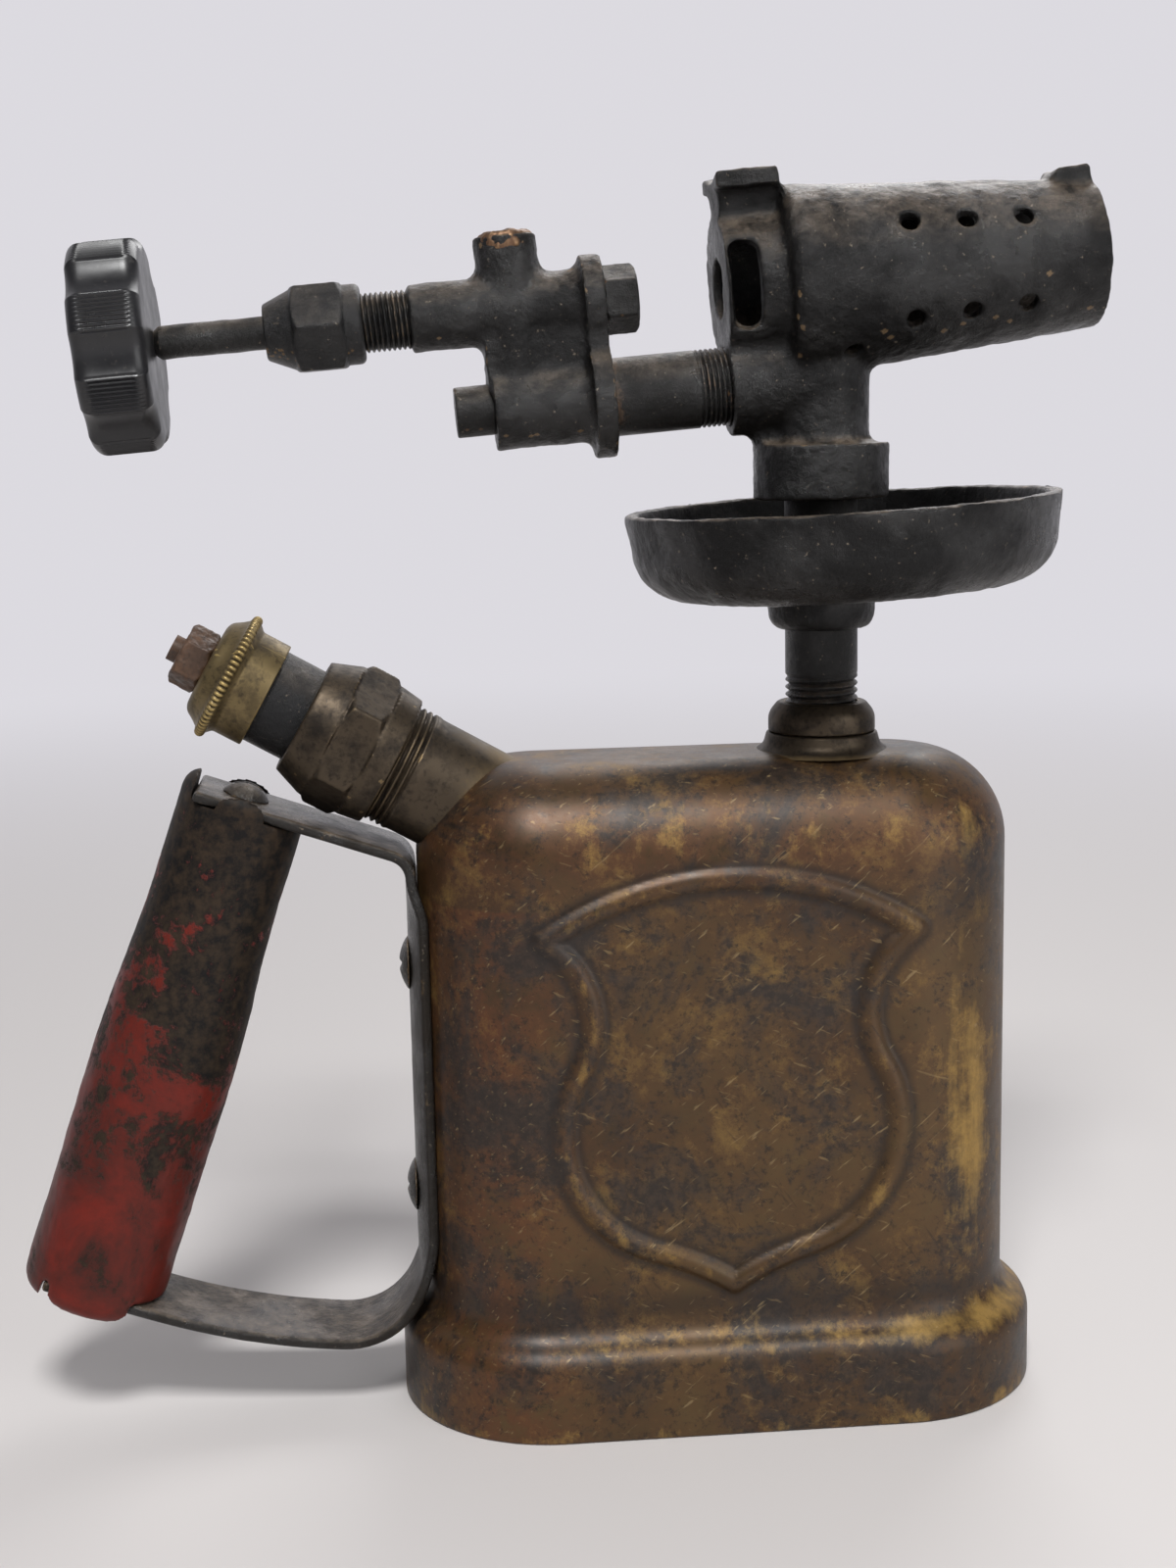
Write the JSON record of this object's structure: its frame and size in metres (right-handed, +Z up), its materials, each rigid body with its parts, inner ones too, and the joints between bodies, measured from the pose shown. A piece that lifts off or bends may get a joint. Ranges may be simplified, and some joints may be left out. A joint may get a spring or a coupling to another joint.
{
  "type": "gasoline blowtorch",
  "caption": "Brass gasoline blowtorch: oval tank with a shield bead, slanted hand pump, priming tray, cast burner, needle valve with a lobed knob, and a wooden grip on a steel strap.",
  "frame": {"origin": "centre of the tank's base, on the surface it stands on", "axes": "+X towards the burner's mouth, +Z up, -Y is the side with the shield bead"},
  "size_m": [0.2077, 0.082, 0.2321],
  "materials": {
    "aged_brass": "dark brown patina with golden wear",
    "dark_bronze": "darkened, worn edges",
    "gold_brass": "tarnished, bright on the ridges",
    "plug_bronze": "rough, reddish brown",
    "black_casting": "sooty black casting, slight sheen",
    "black_pipe": "blackened steel",
    "guide_black": "blackened tube",
    "phenolic": "moulded, semi-gloss",
    "painted_wood": "worn red paint over dark wood",
    "strap_steel": "dull grey-olive, dusty",
    "rusty_steel": "rusted",
    "spring_steel": "bare steel",
    "gasket": "matte",
    "cup_leather": "oiled"
  },
  "bodies": {
    "torch": {"tank_shell": "aged_brass", "tank_bottom": "aged_brass", "filler_boss": "aged_brass", "outlet_boss": "dark_bronze", "riser_collar": "dark_bronze", "riser_pipe": "black_pipe", "fuel_tube": "gold_brass", "priming_tray": "black_casting", "burner_casting": "black_casting", "vapor_pipe": "black_pipe", "valve_block": "black_casting", "block_plug_lower": "black_pipe", "block_plug_top": "plug_bronze", "jet": "black_pipe", "packing_nut": "dark_bronze", "packing_ring": "gasket", "packing_gland": "gold_brass", "pump_socket": "dark_bronze", "pump_gasket": "gasket", "pump_barrel": "gold_brass", "pump_guide": "guide_black", "pump_cap_nut": "dark_bronze", "check_valve_seat": "gold_brass", "check_valve_spring": "spring_steel", "check_valve_cage": "gold_brass", "handle_strap": "strap_steel", "strap_screws": "strap_steel", "strap_bosses": "aged_brass", "handle_grip": "painted_wood", "grip_bolt": "strap_steel", "grip_nut": "strap_steel"},
    "stem": {"valve_stem": "black_pipe"},
    "knob": {"control_knob": "phenolic", "knob_washer": "strap_steel", "knob_nut": "strap_steel"},
    "plunger": {"plunger_cap": "gold_brass", "plunger_rod": "rusty_steel", "plunger_nut": "rusty_steel", "piston_washer": "gold_brass", "pump_leather": "cup_leather", "piston_follower": "gold_brass", "piston_nut": "spring_steel"},
    "foot_valve": {"check_valve_disc": "gasket"},
    "filler_seal": {"filler_gasket": "gasket"},
    "filler_stopper": {"filler_plug": "aged_brass"}
  },
  "joints": [
    {"name": "stem_advance", "type": "slide", "parent": "torch", "child": "stem", "axis": [-0.9971, 0, -0.0767], "range_m": [0, 0.00255]},
    {"name": "knob_turn", "type": "hinge", "parent": "stem", "child": "knob", "pos_m": [-0.10682, 0, 0.20243], "axis": [-0.9971, 0, -0.0767], "range_deg": [0, 720]},
    {"name": "plunger_stroke", "type": "slide", "parent": "torch", "child": "plunger", "axis": [-0.866, 0, 0.5], "range_m": [0, 0.052]},
    {"name": "check_valve_lift", "type": "slide", "parent": "torch", "child": "foot_valve", "axis": [0.866, 0, -0.5], "range_m": [0, 0.0015], "stiffness_N_per_m": 200, "springref_m": -0.003, "deforming": ["check_valve_spring"]},
    {"name": "plug_travel", "type": "slide", "parent": "torch", "child": "filler_seal", "axis": [0, 0, -1], "range_m": [0, 0.00636]},
    {"name": "plug_turn", "type": "hinge", "parent": "filler_seal", "child": "filler_stopper", "pos_m": [0, 0, 0.004], "axis": [0, 0, -1], "range_deg": [0, 1800]}
  ],
  "couplings": [
    {"joint": "stem_advance", "follows": "knob_turn", "m_per_rad": 0.00020213},
    {"joint": "plug_travel", "follows": "plug_turn", "m_per_rad": 0.00020213}
  ]
}
